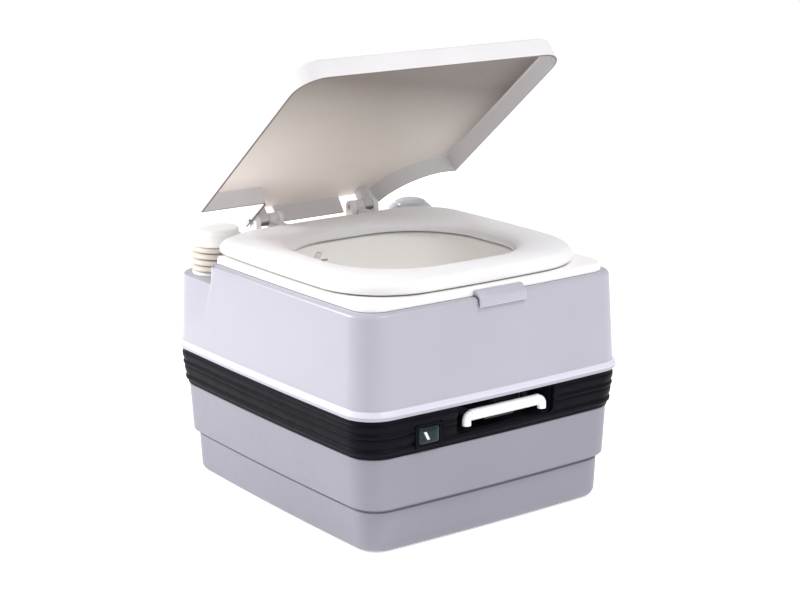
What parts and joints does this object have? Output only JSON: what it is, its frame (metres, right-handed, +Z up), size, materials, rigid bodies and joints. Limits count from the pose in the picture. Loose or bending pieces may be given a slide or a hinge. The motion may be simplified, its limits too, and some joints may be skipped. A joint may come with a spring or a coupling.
{
  "type": "portable camp toilet",
  "caption": "Portable camp toilet: a flush-water section with bowl, seat, lid and bellows pump, standing on a waste tank with a slide valve and pour-out spout.",
  "frame": {"origin": "on the floor, under the middle of the body", "axes": "+Z up, -Y towards the front with the pull handle, +X to the right of someone looking at the front"},
  "size_m": [0.383, 0.427, 0.5303],
  "materials": {
    "cool_white": "semi-gloss moulded polyethylene",
    "warm_white": "glossy moulded plastic",
    "seat_white": "glossy moulded plastic",
    "lid_white": "satin moulded plastic with a fine grain",
    "bellows_white": "soft satin blow-moulded plastic",
    "handle_white": "glossy moulded plastic",
    "tank_grey": "satin blow-moulded polyethylene",
    "band_dark": "satin dark moulded plastic",
    "valve_grey": "satin moulded plastic",
    "cap_grey": "semi-gloss moulded plastic",
    "rubber": "matte",
    "steel": "plain stainless",
    "lens": "clear smoked plastic",
    "signal_red": "gloss"
  },
  "bodies": {
    "waste_section": {"waste_tank": "tank_grey", "band_collar": "band_dark", "valve_base_plate": "valve_grey", "valve_cover_plate": "valve_grey", "valve_lip_seal": "rubber", "outlet_gasket": "rubber", "valve_screw_1": "steel", "valve_screw_2": "steel", "valve_screw_3": "steel", "valve_screw_4": "steel", "gauge_housing": "band_dark", "gauge_lens": "lens", "gauge_pin": "steel", "spout_oring": "rubber", "rear_latch_pin": "steel"},
    "slide_valve": {"valve_blade": "valve_grey", "pull_handle": "handle_white"},
    "level_float": {"gauge_arm": "signal_red", "gauge_float": "warm_white"},
    "vent": {"vent_button": "valve_grey", "vent_spring": "steel", "vent_seal": "rubber"},
    "spout": {"spout_elbow": "tank_grey", "spout_retainer": "valve_grey"},
    "spout_seal": {"spout_cap_seal": "rubber"},
    "spout_cap": {"spout_cap": "valve_grey"},
    "latch": {"rear_latch": "band_dark"},
    "flush_section": {"upper_shell": "cool_white", "tank_floor": "cool_white", "deck_bowl": "warm_white", "deck_clip": "cool_white", "pump_base": "warm_white", "pump_bellows": "bellows_white", "intake_tube": "cap_grey", "intake_strainer": "cap_grey", "flush_hose": "cap_grey", "flush_nozzle": "warm_white", "hinge_bracket_left": "warm_white", "hinge_bracket_right": "warm_white", "hinge_pin_left": "steel", "hinge_pin_right": "steel"},
    "pump_top": {"pump_cap": "warm_white"},
    "check_valve": {"pump_check_valve": "rubber"},
    "filler_seal": {"filler_gasket": "rubber"},
    "filler_top": {"filler_cap": "cap_grey"},
    "seat": {"seat": "seat_white"},
    "lid": {"lid": "lid_white"}
  },
  "joints": [
    {"name": "flush_section_lift", "type": "slide", "parent": "waste_section", "child": "flush_section", "axis": [0, 0, 1], "range_m": [0, 0.12]},
    {"name": "valve_pull", "type": "slide", "parent": "waste_section", "child": "slide_valve", "axis": [0, -1, 0], "range_m": [0, 0.106]},
    {"name": "level_float_swing", "type": "hinge", "parent": "waste_section", "child": "level_float", "pos_m": [-0.101, -0.191, 0.132], "axis": [1, 0, 0], "range_deg": [0, 40]},
    {"name": "vent_press", "type": "slide", "parent": "waste_section", "child": "vent", "axis": [0, 0, -1], "range_m": [0, 0.005], "stiffness_N_per_m": 400, "springref_m": -0.002, "deforming": ["vent_spring"]},
    {"name": "spout_swivel", "type": "hinge", "parent": "waste_section", "child": "spout", "pos_m": [0.132, 0.174, 0.128], "axis": [0, 0, -1], "range_deg": [0, 90]},
    {"name": "spout_cap_off", "type": "slide", "parent": "spout", "child": "spout_seal", "axis": [-1, 0, 0], "range_m": [0, 0.024]},
    {"name": "spout_cap_turn", "type": "hinge", "parent": "spout_seal", "child": "spout_cap", "pos_m": [0.04, 0.174, 0.128], "axis": [-1, 0, 0], "range_deg": [0, 540]},
    {"name": "latch_swing", "type": "hinge", "parent": "waste_section", "child": "latch", "pos_m": [-0.072, 0.2055, 0.132], "axis": [1, 0, 0], "range_deg": [0, 180]},
    {"name": "pump_stroke", "type": "slide", "parent": "flush_section", "child": "pump_top", "axis": [0, 0, -1], "range_m": [0, 0.018], "stiffness_N_per_m": 600, "springref_m": -0.004, "deforming": ["pump_bellows"]},
    {"name": "check_valve_rise", "type": "slide", "parent": "flush_section", "child": "check_valve", "axis": [0, 0, 1], "range_m": [0, 0.003]},
    {"name": "filler_cap_off", "type": "slide", "parent": "flush_section", "child": "filler_seal", "axis": [0, 0, 1], "range_m": [0, 0.03]},
    {"name": "filler_cap_turn", "type": "hinge", "parent": "filler_seal", "child": "filler_top", "pos_m": [0.146, 0.163, 0.29], "axis": [0, 0, 1], "range_deg": [0, 541]},
    {"name": "seat_hinge", "type": "hinge", "parent": "flush_section", "child": "seat", "pos_m": [0, 0.163, 0.305], "axis": [-1, 0, 0], "range_deg": [0, 36]},
    {"name": "lid_hinge", "type": "hinge", "parent": "flush_section", "child": "lid", "pos_m": [0, 0.163, 0.305], "axis": [-1, 0, 0], "range_deg": [-38.5, 63]}
  ],
  "couplings": [
    {"joint": "filler_cap_turn", "follows": "filler_cap_off", "rad_per_m": 314.16},
    {"joint": "spout_cap_turn", "follows": "spout_cap_off", "rad_per_m": 392.7}
  ]
}
